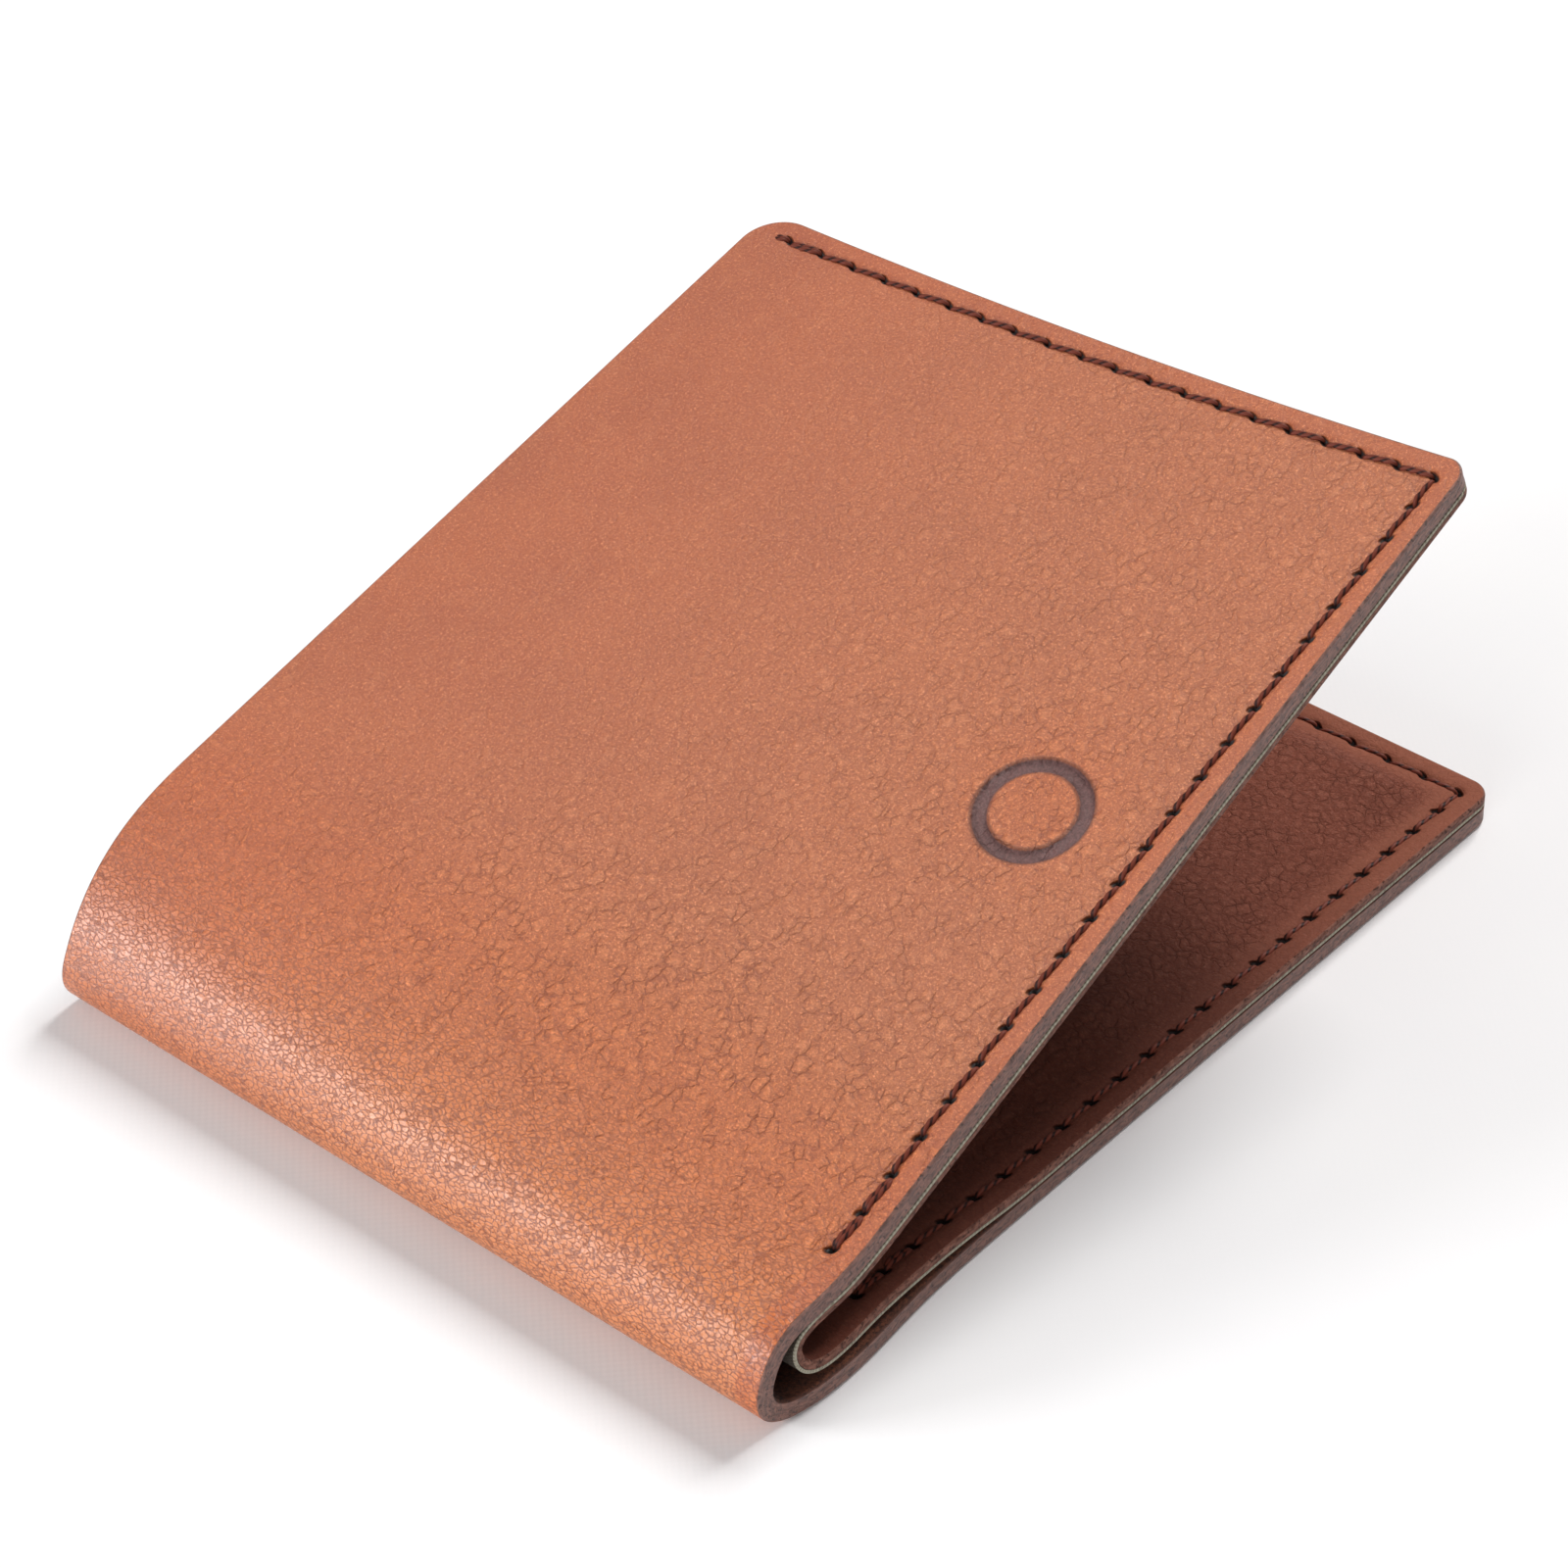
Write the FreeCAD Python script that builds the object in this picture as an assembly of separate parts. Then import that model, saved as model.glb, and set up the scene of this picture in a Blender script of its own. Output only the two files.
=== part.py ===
import FreeCAD, Part
import math
import os

# Bifold wallet of stitched leather, lying on its rear cover with the front cover sprung half open.
# Millimetres. X runs from the spine (-X) to the free side edge (+X), Y along the spine from the
# stitched bottom edge (-Y) to the mouth of the bill compartment (+Y), Z up from the table.
# Every layer is laid out in cover coordinates: u from the fold tangent towards the free edge,
# y along the spine, and w from the outer face of the cover inwards.

# ---- driving dimensions ----
WALLET_LENGTH = 113.1        # spine to free side edge, lying flat
WALLET_HEIGHT = 90.0         # along the spine
FOLD_RADIUS = 6.5            # outer radius of the spine bend
FRONT_LENGTH = 105.4         # front cover, fold tangent to free edge
ANGLE_BOTTOM = 20.25         # how far the front cover stands open at the bottom edge, degrees
ANGLE_TOP = 15.1             # the same at the mouth edge: the sprung cover is slightly twisted
CORNER_RADIUS = 2.5          # free corners of the covers
SHELL = 2.15                 # outer leather
LINING = 0.33                # backing of the inner leather, wall of the bill compartment
INNER = 0.9                  # inner leather
POCKET = 0.4                 # thin leather of the card pockets behind the inner panel
LAYER_GAP = 0.06             # between layers that lie on each other

# ---- fold of the liner (lining and inner leather), a tighter bend inside the shell's ----
LINER_RADIUS = 3.0           # outer radius of the liner's bend
LINER_SHIFT = 1.7            # its centre lies this far towards the free edge from the shell's
LINER_LEAVES = 9.5           # u where the liner leaves the shell on its way to the fold
LINER_STRIP_MARGIN = 40.0    # degrees of bend left free at each end of the spine's liner strip

# ---- hinge slots between the covers and the spine strip ----
SLOT_HALF = 0.33
SLOT_FLARE = 5.0             # degrees, so that the covers can close further

# ---- card pockets ----
PANEL_TOP = 4.5              # inner face of the raised part of the inner panel, as w
RAISED_FROM = 12.6           # u where the raised part begins
RAISED_EDGE = 4.2            # margin of the raised part to the free side edge
RAISED_BOTTOM = 9.0          # margin of the raised part to the bottom edge
RAISED_WALL = 0.7            # leather left round the recess that holds the pockets
POCKET_PLAY = 0.3            # between a pocket's edge and that wall
BAND = 5.0                   # width of the inner panel's arms beside the card window
FIRST_SLOT_Y = 6.0           # mouth of the front card slot
SLOT_STEP = 12.0             # each further mouth is this much higher
POCKET_DEPTH = 48.0

# ---- stitching ----
STITCH_PITCH = 4.3
STITCH_MARGIN = 2.6          # row to the edge of the cover
SIDE_STITCHES = 20
BOTTOM_STITCHES = 22
STITCH_GAP = 0.5             # between the ends of two stitches
THREAD = 0.75
GROOVE_WIDTH = 1.0
OUTER_GROOVE = 0.87
INNER_GROOVE = 0.46
TACK_U = 16.0                # stitch row that holds the pockets beside the fold
TACK_STITCHES = 8

# ---- plain debossed ring on the front cover ----
RING_U, RING_Y = 53.9, -30.5
RING_OUTER, RING_INNER, RING_DEPTH = 6.0, 4.4, 0.3

# ---- worked out ----
BOTTOM_Y, TOP_Y = -WALLET_HEIGHT / 2, WALLET_HEIGHT / 2
CENTRE_X = FOLD_RADIUS - WALLET_LENGTH / 2
REAR_LENGTH = WALLET_LENGTH / 2 - CENTRE_X
MEAN_ANGLE = (ANGLE_BOTTOM + ANGLE_TOP) / 2
HALF_FOLD = (180.0 - MEAN_ANGLE) / 2
LINING_W = SHELL + LAYER_GAP
INNER_W = LINING_W + LINING + LAYER_GAP
BORDER_TOP = INNER_W + INNER
LINER_CENTRE = (CENTRE_X + LINER_SHIFT, FOLD_RADIUS + 0.1)


def vec(x, y, z):
    return FreeCAD.Vector(x, y, z)


def polar(centre, radius, fold):
    """A point of a bend, as (x, z); fold is 0 below the centre and grows round the spine side."""
    a = math.radians(fold)
    return (centre[0] - radius * math.sin(a), centre[1] - radius * math.cos(a))


class Cover:
    """One cover: a flat or slightly twisted sheet that leaves the bend on a tangent."""

    def __init__(self, name, length, angle_bottom, angle_top):
        self.name = name
        self.length = length
        self.angle_bottom = angle_bottom
        self.angle_top = angle_top

    def fold_end(self, y):
        """Fold angle at which this cover's flat part begins."""
        share = (y - BOTTOM_Y) / WALLET_HEIGHT
        return self.angle_bottom + (self.angle_top - self.angle_bottom) * share

    def side(self):
        return 1.0 if self.name == "rear" else -1.0

    def xz(self, u, y, w):
        a = math.radians(self.fold_end(y))
        x, z = polar((CENTRE_X, FOLD_RADIUS), FOLD_RADIUS - w, self.fold_end(y))
        return (x + self.side() * u * math.cos(a), z - self.side() * u * math.sin(a))

    def point(self, u, y, w):
        x, z = self.xz(u, y, w)
        return vec(x, y, z)

    def inward(self, y):
        """Unit vector from the outer face towards the inner face."""
        a = math.radians(self.fold_end(y))
        return vec(math.sin(a), 0, math.cos(a))


REAR = Cover("rear", REAR_LENGTH, 0.0, 0.0)
FRONT = Cover("front", FRONT_LENGTH, 180.0 - ANGLE_BOTTOM, 180.0 - ANGLE_TOP)


def loft(wires):
    solid = Part.makeLoft(wires, True, True)
    if solid.Volume < 0:
        solid.reverse()
    return solid


def polygon(points):
    return Part.makePolygon(points + [points[0]])


def slab(cover, u0, u1, y0, y1, w0, w1):
    """A plain sheet of one layer between two u, two y and two w values."""
    corners = ((u0, w0), (u1, w0), (u1, w1), (u0, w1))
    return loft([polygon([cover.point(u, y, w) for u, w in corners]) for y in (y0, y1)])


def arc(centre, radius, fold_a, fold_b, y):
    a, m, b = (polar(centre, radius, f) for f in (fold_a, (fold_a + fold_b) / 2, fold_b))
    return Part.Arc(vec(a[0], y, a[1]), vec(m[0], y, m[1]), vec(b[0], y, b[1])).toShape()


def line(a, b, y):
    return Part.makeLine(vec(a[0], y, a[1]), vec(b[0], y, b[1]))


def slot_offset(radius):
    """Half the hinge slot, as an angle of the bend at this radius."""
    half = SLOT_HALF + (FOLD_RADIUS - radius) * math.tan(math.radians(SLOT_FLARE))
    return math.degrees(math.asin(half / radius))


def hinge_folds():
    """Fold angles of the two hinge axes, which lie in the outer face of the shell."""
    return (HALF_FOLD / 2, HALF_FOLD * 1.5)


def shell_section(cover, y):
    """A cover's outer leather with its lip of the bend, as one closed wire."""
    centre = (CENTRE_X, FOLD_RADIUS)
    inner_radius = FOLD_RADIUS - SHELL
    hinge = hinge_folds()[0 if cover is REAR else 1]
    start = cover.fold_end(y)
    ends = [hinge - cover.side() * slot_offset(r) for r in (FOLD_RADIUS, inner_radius)]
    edges = [line(cover.xz(cover.length, y, 0), cover.xz(0, y, 0), y),
             arc(centre, FOLD_RADIUS, start, ends[0], y),
             line(polar(centre, FOLD_RADIUS, ends[0]), polar(centre, inner_radius, ends[1]), y),
             arc(centre, inner_radius, ends[1], start, y),
             line(cover.xz(0, y, SHELL), cover.xz(cover.length, y, SHELL), y),
             line(cover.xz(cover.length, y, SHELL), cover.xz(cover.length, y, 0), y)]
    return Part.Wire(edges)


def shell_panel(cover):
    panel = loft([shell_section(cover, y) for y in (BOTTOM_Y, TOP_Y)])
    panel = round_corners(cover, panel)
    return panel.cut(stitch_groove(cover, 0, OUTER_GROOVE))


def round_corners(cover, panel):
    """Rounds the two free corners with a quarter-round notch tool at each."""
    reach = CORNER_RADIUS + 1
    for y, inside in ((BOTTOM_Y, 1), (TOP_Y, -1)):
        axis = cover.inward(y)
        foot = cover.point(cover.length - CORNER_RADIUS, y + inside * CORNER_RADIUS, -2)
        post = Part.makeCylinder(CORNER_RADIUS, 12, foot, axis)
        y_low, y_high = sorted((y - inside, y + inside * CORNER_RADIUS))
        block = slab(cover, cover.length - CORNER_RADIUS, cover.length + reach, y_low, y_high, -2, 8)
        panel = panel.cut(block.cut(post))
    return panel


def stitch_groove(cover, w, depth):
    """Channel that the stitch row lies in, along the side edge and the bottom edge."""
    half = GROOVE_WIDTH / 2
    u_row = cover.length - STITCH_MARGIN
    y_row = BOTTOM_Y + STITCH_MARGIN
    u_end = u_row - bottom_row_length() - half
    side = slab(cover, u_row - half, u_row + half, y_row - half, TOP_Y - 1.5, w, w + depth)
    bottom = slab(cover, u_end, u_row + half, y_row - half, y_row + half, w, w + depth)
    return side.fuse(bottom)


def bottom_row_length():
    """The stitch at the corner is a little shorter than the others."""
    return (BOTTOM_STITCHES - 0.15) * STITCH_PITCH


def thread(cover, a, b, w):
    """One stitch between two holes given as (u, y), its centre line at depth w."""
    p, q = cover.point(a[0], a[1], w), cover.point(b[0], b[1], w)
    along = (q - p).normalize()
    start = p + along * (STITCH_GAP / 2)
    return Part.makeCylinder(THREAD / 2, (q - p).Length - STITCH_GAP, start, along)


def stitch_row(cover, w):
    u_row = cover.length - STITCH_MARGIN
    y_row = BOTTOM_Y + STITCH_MARGIN
    side = [(u_row, y_row + k * STITCH_PITCH) for k in range(SIDE_STITCHES + 1)]
    first = u_row - 0.85 * STITCH_PITCH
    bottom = [(u_row, y_row)] + [(first - k * STITCH_PITCH, y_row) for k in range(BOTTOM_STITCHES)]
    pairs = list(zip(side, side[1:])) + list(zip(bottom, bottom[1:]))
    return Part.makeCompound([thread(cover, a, b, w) for a, b in pairs])


def tack_row(cover):
    """Short row beside the fold that closes the card pockets on that side."""
    w = PANEL_TOP + LAYER_GAP + THREAD / 2
    ys = [FIRST_SLOT_Y + k * STITCH_PITCH for k in range(TACK_STITCHES + 1)]
    return Part.makeCompound([thread(cover, (TACK_U, a), (TACK_U, b), w) for a, b in zip(ys, ys[1:])])


def tangent_fold(cover, y, radius, leave):
    """Fold angle where a straight ramp from the point leave touches the liner's bend."""
    dx, dz = leave[0] - LINER_CENTRE[0], leave[1] - LINER_CENTRE[1]
    bearing = math.degrees(math.atan2(-dx, -dz))
    opening = math.degrees(math.acos(radius / math.hypot(dx, dz)))
    return bearing + cover.side() * opening


def liner_section(cover, y, w0, w1):
    """One liner layer of a cover: flat part, then a straight ramp up to the liner's bend."""
    leave = cover.xz(LINER_LEAVES, y, LINING_W)
    fold = tangent_fold(cover, y, LINER_RADIUS, leave)
    r0, r1 = LINER_RADIUS - (w0 - LINING_W), LINER_RADIUS - (w1 - LINING_W)
    corners = [cover.xz(cover.length, y, w0), cover.xz(LINER_LEAVES, y, w0),
               polar(LINER_CENTRE, r0, fold), polar(LINER_CENTRE, r1, fold),
               cover.xz(LINER_LEAVES, y, w1), cover.xz(cover.length, y, w1)]
    return polygon([vec(x, y, z) for x, z in corners])


def liner_panel(cover, w0, w1):
    panel = loft([liner_section(cover, y, w0, w1) for y in (BOTTOM_Y, TOP_Y)])
    return round_corners(cover, panel)


def inner_panel(cover):
    """Inner leather: the front card pocket, raised over the pockets behind it."""
    last = cover.length - RAISED_EDGE
    low = BOTTOM_Y + RAISED_BOTTOM
    past = 1.0
    panel = liner_panel(cover, INNER_W, BORDER_TOP)
    raised = slab(cover, RAISED_FROM, last, low, TOP_Y, BORDER_TOP - INNER / 2, PANEL_TOP)
    recess = slab(cover, RAISED_FROM + RAISED_WALL, last - RAISED_WALL, low + RAISED_WALL, TOP_Y + past,
                  INNER_W - past, PANEL_TOP - INNER)
    window = slab(cover, RAISED_FROM + BAND, last - BAND, FIRST_SLOT_Y, TOP_Y + past,
                  INNER_W - past, PANEL_TOP + past)
    panel = panel.fuse(raised).cut(recess).cut(window)
    return panel.cut(stitch_groove(cover, BORDER_TOP - INNER_GROOVE, INNER_GROOVE + 0.5))


def card_pocket(cover, order):
    """A card pocket behind the inner panel; order 1 is the middle one, 2 the upper one."""
    mouth = FIRST_SLOT_Y + order * SLOT_STEP
    w0 = INNER_W + LAYER_GAP + (2 - order) * (POCKET + LAYER_GAP)
    inset = RAISED_WALL + POCKET_PLAY
    u0, u1 = RAISED_FROM + inset, cover.length - RAISED_EDGE - inset
    return slab(cover, u0, u1, mouth - POCKET_DEPTH, mouth, w0, w0 + POCKET)


def ring_mark(cover):
    """Shallow plain ring pressed into the outer face."""
    axis = cover.inward(RING_Y)
    foot = cover.point(RING_U, RING_Y, -1)
    depth = RING_DEPTH + 1
    return Part.makeCylinder(RING_OUTER, depth, foot, axis).cut(
        Part.makeCylinder(RING_INNER, depth, foot, axis))


def bend_strip(centre, r_out, r_in, folds_out, folds_in):
    """A strip of a bend between two end faces, the full height of the wallet."""
    y = BOTTOM_Y
    wire = Part.Wire([arc(centre, r_out, folds_out[0], folds_out[1], y),
                      line(polar(centre, r_out, folds_out[1]), polar(centre, r_in, folds_in[1]), y),
                      arc(centre, r_in, folds_in[1], folds_in[0], y),
                      line(polar(centre, r_in, folds_in[0]), polar(centre, r_out, folds_out[0]), y)])
    return Part.Face(wire).extrude(vec(0, WALLET_HEIGHT, 0))


def spine_shell():
    first, second = hinge_folds()
    r_in = FOLD_RADIUS - SHELL
    folds = [(first + slot_offset(r), second - slot_offset(r)) for r in (FOLD_RADIUS, r_in)]
    return bend_strip((CENTRE_X, FOLD_RADIUS), FOLD_RADIUS, r_in, folds[0], folds[1])


def spine_liner(w0, w1):
    leave = REAR.xz(LINER_LEAVES, 0, LINING_W)
    begin = tangent_fold(REAR, 0, LINER_RADIUS, leave) + LINER_STRIP_MARGIN
    folds = (begin, 2 * HALF_FOLD - begin)
    r_out, r_in = LINER_RADIUS - (w0 - LINING_W), LINER_RADIUS - (w1 - LINING_W)
    return bend_strip(LINER_CENTRE, r_out, r_in, folds, folds)


def hinge_axes():
    return [polar((CENTRE_X, FOLD_RADIUS), FOLD_RADIUS, f) for f in hinge_folds()]


def build():
    nodes = {}
    for cover in (REAR, FRONT):
        name = cover.name
        nodes[name + "_outer_panel"] = shell_panel(cover)
        nodes[name + "_lining"] = liner_panel(cover, LINING_W, LINING_W + LINING)
        nodes[name + "_inner_panel"] = inner_panel(cover)
        nodes[name + "_card_pocket_middle"] = card_pocket(cover, 1)
        nodes[name + "_card_pocket_upper"] = card_pocket(cover, 2)
        nodes[name + "_outer_stitches"] = stitch_row(cover, LAYER_GAP + THREAD / 2)
        nodes[name + "_inner_stitches"] = stitch_row(
            cover, BORDER_TOP - INNER_GROOVE + LAYER_GAP + THREAD / 2)
        nodes[name + "_pocket_stitches"] = tack_row(cover)
    nodes["front_outer_panel"] = nodes["front_outer_panel"].cut(ring_mark(FRONT))
    nodes["spine_outer"] = spine_shell()
    nodes["spine_lining"] = spine_liner(LINING_W, LINING_W + LINING)
    nodes["spine_inner"] = spine_liner(INNER_W, BORDER_TOP)
    return nodes


os.makedirs("parts", exist_ok=True)
for node_name, shape in build().items():
    if not shape.isValid():
        raise ValueError(node_name + " is not valid")
    shape.exportStep("parts/" + node_name + ".step")
    box = shape.BoundBox
    print("%-28s solids %3d volume %9.1f  x %7.2f %7.2f  y %6.2f %6.2f  z %6.2f %6.2f" % (
        node_name, len(shape.Solids), shape.Volume, box.XMin, box.XMax, box.YMin, box.YMax,
        box.ZMin, box.ZMax))
print("hinge axes (x, z):", [(round(x, 3), round(z, 3)) for x, z in hinge_axes()])
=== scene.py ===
import math

import bpy
import numpy as np
from mathutils import Matrix, Vector, noise


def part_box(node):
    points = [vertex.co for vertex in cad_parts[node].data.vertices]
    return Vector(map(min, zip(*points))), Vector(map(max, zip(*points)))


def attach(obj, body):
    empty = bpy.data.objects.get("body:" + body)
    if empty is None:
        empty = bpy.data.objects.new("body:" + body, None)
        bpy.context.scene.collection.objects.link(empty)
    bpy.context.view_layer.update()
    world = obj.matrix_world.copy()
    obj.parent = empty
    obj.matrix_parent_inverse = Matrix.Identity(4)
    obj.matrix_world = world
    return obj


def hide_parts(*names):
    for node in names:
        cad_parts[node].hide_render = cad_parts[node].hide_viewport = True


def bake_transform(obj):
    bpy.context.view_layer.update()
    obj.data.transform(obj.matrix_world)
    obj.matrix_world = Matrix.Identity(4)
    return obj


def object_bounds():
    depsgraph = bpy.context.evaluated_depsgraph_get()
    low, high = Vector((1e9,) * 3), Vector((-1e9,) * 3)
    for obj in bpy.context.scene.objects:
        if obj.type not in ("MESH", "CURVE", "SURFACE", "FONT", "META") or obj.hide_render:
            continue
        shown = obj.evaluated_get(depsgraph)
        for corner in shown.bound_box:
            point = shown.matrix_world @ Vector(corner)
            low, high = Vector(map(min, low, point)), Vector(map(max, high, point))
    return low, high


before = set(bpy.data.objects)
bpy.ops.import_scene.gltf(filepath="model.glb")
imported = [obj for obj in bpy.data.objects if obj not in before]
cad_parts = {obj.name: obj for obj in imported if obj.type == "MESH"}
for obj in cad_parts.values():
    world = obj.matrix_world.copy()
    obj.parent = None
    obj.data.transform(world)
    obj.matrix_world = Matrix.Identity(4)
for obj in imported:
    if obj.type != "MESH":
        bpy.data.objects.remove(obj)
CAD_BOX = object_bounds()

# Bifold wallet on its rear cover, front cover sprung half open. The code works in millimetres and
# writes metres. s runs along the leather from the rear fold tangent round the spine to the front
# cover's free edge (negative on the rear cover), y along the spine, w from the outer face inwards.
MM = 0.001


def add(name, data):
    """Puts a new object with this data into the scene."""
    obj = bpy.data.objects.new(name, data)
    bpy.context.scene.collection.objects.link(obj)
    return obj


def cad_mm(node):
    low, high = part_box(node)
    return np.array(low) / MM, np.array(high) / MM


REAR_BOX = cad_mm("rear_outer_panel")
Y_BOTTOM, Y_TOP = REAR_BOX[0][1], REAR_BOX[1][1]
REAR_EDGE_X = REAR_BOX[1][0]
SPINE_X = CAD_BOX[0][0] / MM

# ---- shape of the fold: (start, length, turn) along s, in mm and degrees ----
FOLD_X = SPINE_X + 5.8                 # where the rear cover leaves the table
NEAR_BENDS = ((0.0, 11.1, 111.4), (9.2, 10.0, 64.6), (17.6, 12.3, -18.0))
FAR_BENDS = ((0.0, 9.5, 110.6), (4.0, 30.2, 56.4))
FRONT_END = 122.2                      # s of the front free edge
REAR_END = FOLD_X - REAR_EDGE_X        # s of the rear free edge
FRONT_SAG = 1.9                        # the front cover hangs a little between its two side edges
SEAM_S = 8.2                           # where the rear and the front half of the shell meet

# ---- layers, as depths from the outer face ----
SHELL = 2.15
LINER_W = 2.21
LINING = 0.33
INNER_FROM = 0.39                      # these two are depths from the lining's outer face
INNER_TO = 1.29

# ---- corner radii, and the CAD's fold and front cover, which place its card pockets ----
CORNER = 2.4
TOP_CORNER = 4.7                       # the front cover's corner at the mouth is rounder
FOLD_RADIUS, FRONT_LENGTH = 6.5, 105.4

# ---- stitching ----
PITCH = 4.34
MARGIN = 2.6
SIDE_HOLES = 20
BOTTOM_HOLES = 22
SHORT_STITCH = 0.85                    # the first stitch of the bottom row, in pitches
SLANT = 0.6                            # the angle of each hole to its row, in radians

# ---- pressed ring ----
MARK_S, MARK_Y = FRONT_END - 51.5, -30.5
RING_IN, RING_OUT, RING_DEPTH = 4.3, 6.0, 0.32


def smooth(x):
    """A smooth step from 0 at 0 to 1 at 1."""
    x = np.clip(x, 0, 1)
    return x * x * (3 - 2 * x)


def bump(x, centre, half):
    """A bell from 1 at the centre to 1/e at the half width."""
    return np.exp(-((x - centre) / half) ** 2)


class Sheet:
    """A swept surface as a table over s and y, with its inward normal. The squeezed leather flares out of
    the bottom end beside the fold: flare is (height, place, half width)."""

    def __init__(self, s, y, x, z, flare):
        self.s, self.y, self.flare = s, y, flare
        dx, dz = np.gradient(x, s, axis=0), np.gradient(z, s, axis=0)
        size = np.hypot(dx, dz)
        self.tables = (x, z, dz / size, -dx / size)

    def point(self, s, y, w):
        s, y, w = np.broadcast_arrays(np.asarray(s, float), y, w)
        fs = np.clip((s - self.s[0]) / (self.s[1] - self.s[0]), 0, len(self.s) - 1.001)
        fy = np.clip((y - self.y[0]) / (self.y[1] - self.y[0]), 0, len(self.y) - 1.001)
        i, j = fs.astype(int), fy.astype(int)
        a, b = fs - i, fy - j

        def read(t):
            return ((t[i, j] * (1 - a) + t[i + 1, j] * a) * (1 - b)
                    + (t[i, j + 1] * (1 - a) + t[i + 1, j + 1] * a) * b)

        x, z, nx, nz = (read(t) for t in self.tables)
        height, centre, half = self.flare
        out = height * bump(s, centre, half) * smooth((8 - s) / 10) * smooth((Y_BOTTOM + 7 - y) / 7)
        return np.stack([x + w * nx, y - out, z + w * nz], -1)


TABLE_STEP = 0.1                       # of the tables along s
REAR_REACH, FRONT_REACH = -114, 128    # the table of the shell, a little past both free edges


def shell_sheet():
    s = np.arange(REAR_REACH, FRONT_REACH, TABLE_STEP)
    y = np.linspace(Y_BOTTOM, Y_TOP, 91)
    t = (y - Y_BOTTOM) / (Y_TOP - Y_BOTTOM)
    turn = np.zeros((len(s), len(y)))
    for share, bends in ((1 - t, NEAR_BENDS), (t, FAR_BENDS)):
        for start, length, degrees in bends:
            turn += np.outer(smooth((s - start) / length), share) * degrees
    heading = np.radians(180 - turn)
    x = np.cumsum(np.cos(heading), 0) * TABLE_STEP
    z = np.cumsum(np.sin(heading), 0) * TABLE_STEP
    zero = np.argmin(abs(s))
    x += FOLD_X - x[zero]
    z -= z[zero]
    z -= FRONT_SAG * np.outer(np.clip(s / FRONT_END, 0, 2) ** 2, 4 * t * (1 - t))
    return Sheet(s, y, x, z, (1.2, -5.0, 10.0))


SHELL_SHEET = shell_sheet()

# ---- the liner's own fold: control points 3 mm apart, as (x from the spine, z) ----
STEP = 3.0
LINER_RAMP = ((36.5, 2.25), (33.5, 2.5), (30.5, 2.75), (27.5, 2.9), (24.5, 2.95), (21.6, 2.95), (18.8, 2.95),
              (16.0, 3.0), (13.2, 3.05), (10.5, 3.1), (7.7, 3.15), (5.5, 4.1), (4.5, 6.35))
LINER_NEAR = ((5.5, 8.4), (8.3, 9.1))
LINER_FAR = ((5.9, 8.9), (7.9, 11.2))
LINER_JOINS_S = 23.5                   # where the liner reaches the front cover
REAR_POINTS, FRONT_POINTS = 33, 36     # more points along the two flat parts


def liner_sheet():
    """A cubic B-spline over the control points; sigma is 0 at the leftmost point of the fold."""
    y = SHELL_SHEET.y
    t = ((y - Y_BOTTOM) / (Y_TOP - Y_BOTTOM))[:, None]
    ramp = [np.array([SPINE_X + a, b]) + 0 * t for a, b in LINER_RAMP]
    rear = [np.array([SPINE_X + LINER_RAMP[0][0] + STEP * k, LINER_W]) + 0 * t for k in range(REAR_POINTS, 0, -1)]
    fold = [(1 - t) * (SPINE_X + n[0], n[1]) + t * (SPINE_X + f[0], f[1])
            for n, f in zip(LINER_NEAR, LINER_FAR)]
    front = [SHELL_SHEET.point(LINER_JOINS_S + STEP * k, y, LINER_W + (0.15 if k == 0 else 0))[:, ::2]
             for k in range(FRONT_POINTS)]
    points = np.array(rear + ramp + fold + front)
    middle = len(rear) + len(ramp) - 1
    sigma = np.arange(REAR_REACH, 112, TABLE_STEP)
    f = sigma / STEP + middle
    i = np.clip(f.astype(int), 1, len(points) - 3)
    a = (f - i)[:, None, None]
    xz = ((1 - a) ** 3 * points[i - 1] + (3 * a ** 3 - 6 * a ** 2 + 4) * points[i]
          + (-3 * a ** 3 + 3 * a ** 2 + 3 * a + 1) * points[i + 1] + a ** 3 * points[i + 2]) / 6
    return Sheet(sigma, y, xz[..., 0], xz[..., 1], (0.8, -8.0, 7.0))


LINER_SHEET = liner_sheet()
LINER_REAR_END = -(REAR_EDGE_X - (SPINE_X + LINER_RAMP[0][0]) + STEP * (len(LINER_RAMP) - 1))
LINER_FRONT_END = FRONT_END - LINER_JOINS_S + STEP * (len(LINER_NEAR) + 1)

# ---- mesh of one layer ----
EDGE_LINES = (0.0, 0.04, 0.1, 0.18, 0.28, 0.4)     # extra grid lines beside a cut edge
SHARP_ANGLE = math.radians(42)


def lines(a, b, step, edges=(), fine=()):
    """Grid lines from a to b, closer inside each (low, high, step) band and beside each edge."""
    v = np.arange(a, b, step)
    for low, high, close in fine:
        v = np.concatenate([v[(v < low) | (v > high)], np.arange(low, high, close)])
    for e in edges:
        near = [e + k * sign for k in EDGE_LINES for sign in (-1, 1)]
        v = np.concatenate([v[abs(v - e) > EDGE_LINES[-1] + 0.1], near])
    v = np.unique(np.round(v[(v >= a - 1e-6) & (v <= b + 1e-6)], 4))
    return v[np.concatenate([[True], np.diff(v) > 0.01])]


def round_edge(d, e):
    """How far a face drops at distance d from a cut edge rounded over e."""
    k = np.clip(e - d, 0, e)
    return e - np.sqrt(np.maximum(e * e - k * k, 0))


def value_noise(points, scale, seed=0.0, octaves=2):
    """Smooth noise from -1 to 1 at each row of points, which are in mm."""
    return np.array([noise.fractal(Vector((p[0] / scale + seed, p[1] / scale, seed)), 1.0, 2.0, octaves)
                     for p in points])


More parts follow.
